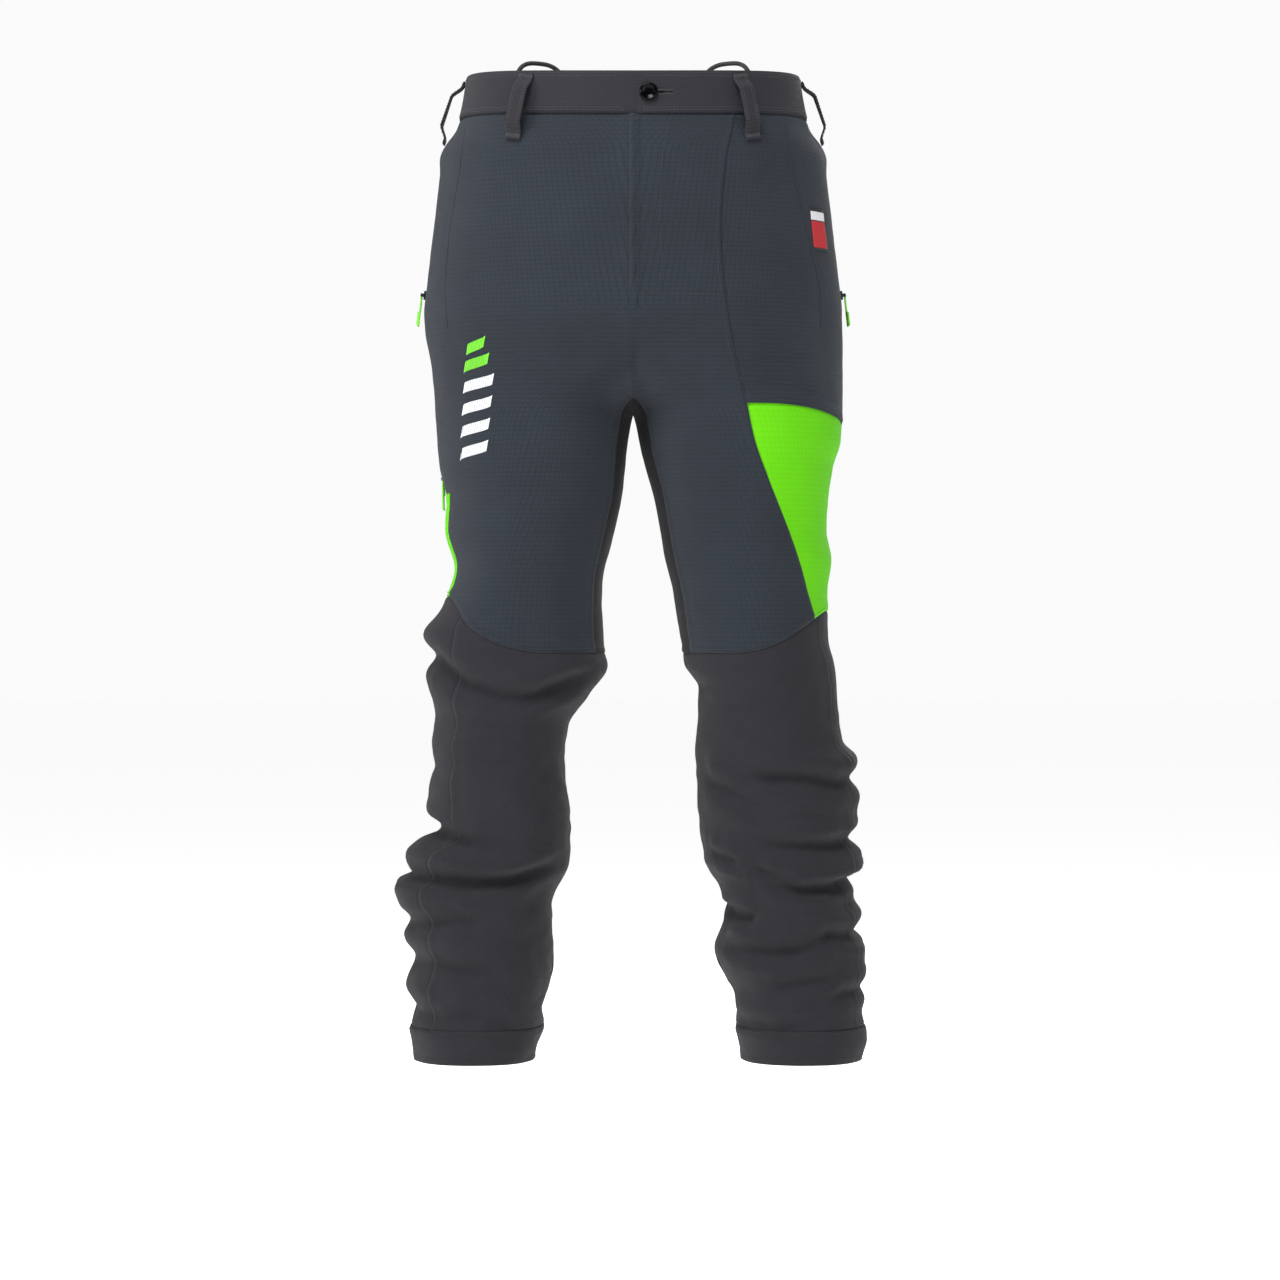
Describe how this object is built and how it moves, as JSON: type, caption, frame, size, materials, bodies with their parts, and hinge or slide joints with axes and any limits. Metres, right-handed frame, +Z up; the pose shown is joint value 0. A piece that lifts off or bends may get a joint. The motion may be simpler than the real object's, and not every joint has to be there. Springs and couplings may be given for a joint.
{
  "type": "chainsaw protective trousers",
  "caption": "Chainsaw trousers with padded leg fronts, zipped pockets, leg vents, belt loops and brace loops.",
  "frame": {"origin": "middle of the waist opening, level with the waistband's top edge at the sides", "axes": "+Z up along the wearer's body, the front faces -Y, +X is the wearer's left"},
  "size_m": [0.4721, 0.254, 1.0429],
  "materials": {
    "slate_ripstop": "matt ripstop weave",
    "slate_stretch": "matt stretch weave",
    "lime_cloth": "bright matt weave",
    "charcoal_cloth": "tough matt weave",
    "black_stretch": "matt stretch knit",
    "band_cloth": "matt twill",
    "brace_cord": "braided cord",
    "lining_mesh": "knitted mesh",
    "padding": "layered cut-resistant knit",
    "zip_tape": "woven tape with moulded coil",
    "zip_metal": "black enamel",
    "lime_pull": "moulded cord pull",
    "button_gloss": "black gloss",
    "red_label": "woven label"
  },
  "bodies": {
    "trousers": {"lime_side_panel_right": "lime_cloth", "thigh_panel_right": "slate_ripstop", "seat_panel_right": "slate_stretch", "inner_thigh_panel_right": "black_stretch", "shin_panel_right": "charcoal_cloth", "calf_panel_right": "charcoal_cloth", "hem_band_right": "charcoal_cloth", "hand_pocket_bag_right": "lining_mesh", "protective_pad_right": "padding", "lining_right": "lining_mesh", "hand_pocket_zip_right": "zip_tape", "vent_zip_right": "zip_tape", "brace_loop_right": "brace_cord", "lime_side_panel_left": "lime_cloth", "thigh_panel_left": "slate_ripstop", "hip_panel_left": "slate_ripstop", "seat_panel_left": "slate_stretch", "inner_thigh_panel_left": "black_stretch", "shin_panel_left": "charcoal_cloth", "calf_panel_left": "charcoal_cloth", "hem_band_left": "charcoal_cloth", "hand_pocket_bag_left": "lining_mesh", "protective_pad_left": "padding", "lining_left": "lining_mesh", "hand_pocket_zip_left": "zip_tape", "vent_zip_left": "zip_tape", "brace_loop_left": "brace_cord", "waistband_front_left": "band_cloth", "waistband_front_right": "band_cloth", "waistband_back": "band_cloth", "button_tack": "zip_metal", "belt_loop_front_right": "band_cloth", "belt_loop_side_right": "band_cloth", "belt_loop_back_right": "band_cloth", "belt_loop_front_left": "band_cloth", "belt_loop_side_left": "band_cloth", "belt_loop_back_left": "band_cloth", "belt_loop_centre_back": "band_cloth", "fly_zip_tape_right": "zip_tape", "fly_zip_tape_left": "zip_tape", "fly_zip_teeth": "zip_metal", "fly_facing": "slate_ripstop", "fly_shield": "lining_mesh", "thigh_pocket_bag_left": "lining_mesh", "side_label": "red_label"},
    "hand_pocket_slider_right": {"hand_pocket_slider_right": "zip_metal"},
    "hand_pocket_pull_right": {"hand_pocket_pull_right": "lime_pull"},
    "vent_slider_right": {"vent_slider_right": "zip_metal"},
    "vent_pull_right": {"vent_pull_right": "lime_pull"},
    "hand_pocket_slider_left": {"hand_pocket_slider_left": "zip_metal"},
    "hand_pocket_pull_left": {"hand_pocket_pull_left": "lime_pull"},
    "vent_slider_left": {"vent_slider_left": "zip_metal"},
    "vent_pull_left": {"vent_pull_left": "lime_pull"},
    "fly_zip_slider": {"fly_zip_slider": "zip_metal", "fly_zip_pull": "zip_metal"},
    "waist_button": {"waist_button": "button_gloss"}
  },
  "joints": [
    {"name": "hand_pocket_slider_right_slide", "type": "slide", "parent": "trousers", "child": "hand_pocket_slider_right", "axis": [0.1139, -0.0158, 0.9934], "range_m": [0, 0.105]},
    {"name": "hand_pocket_pull_right_swing", "type": "hinge", "parent": "hand_pocket_slider_right", "child": "hand_pocket_pull_right", "pos_m": [-0.21828, 0.00868, -0.22148], "axis": [0.0018, 0.9999, 0.0157], "range_deg": [-3, 150]},
    {"name": "vent_slider_right_slide", "type": "slide", "parent": "trousers", "child": "vent_slider_right", "axis": [-0.0298, 0.1021, 0.9943], "range_m": [0, 0.092]},
    {"name": "vent_pull_right_swing", "type": "hinge", "parent": "vent_slider_right", "child": "vent_pull_right", "pos_m": [-0.19907, 0.06094, -0.40932], "axis": [0.419, 0.9044, -0.0803], "range_deg": [-3, 150]},
    {"name": "hand_pocket_slider_left_slide", "type": "slide", "parent": "trousers", "child": "hand_pocket_slider_left", "axis": [-0.1139, -0.0158, 0.9934], "range_m": [0, 0.105]},
    {"name": "hand_pocket_pull_left_swing", "type": "hinge", "parent": "hand_pocket_slider_left", "child": "hand_pocket_pull_left", "pos_m": [0.21828, 0.00868, -0.22148], "axis": [0.0018, -0.9999, -0.0157], "range_deg": [-3, 150]},
    {"name": "vent_slider_left_slide", "type": "slide", "parent": "trousers", "child": "vent_slider_left", "axis": [-0.182, 0.0235, 0.983], "range_m": [0, 0.062]},
    {"name": "vent_pull_left_swing", "type": "hinge", "parent": "vent_slider_left", "child": "vent_pull_left", "pos_m": [0.17552, 0.10258, -0.28163], "axis": [0.8385, -0.5184, 0.1676], "range_deg": [-3, 150]},
    {"name": "fly_zip_slide", "type": "slide", "parent": "trousers", "child": "fly_zip_slider", "axis": [0, -0.0293, -0.9996], "range_m": [0, 0.125]},
    {"name": "waist_button_turn", "type": "hinge", "parent": "trousers", "child": "waist_button", "pos_m": [0.01536, -0.10463, -0.03137], "axis": [0.027, -0.9971, 0.0717], "continuous": true}
  ]
}
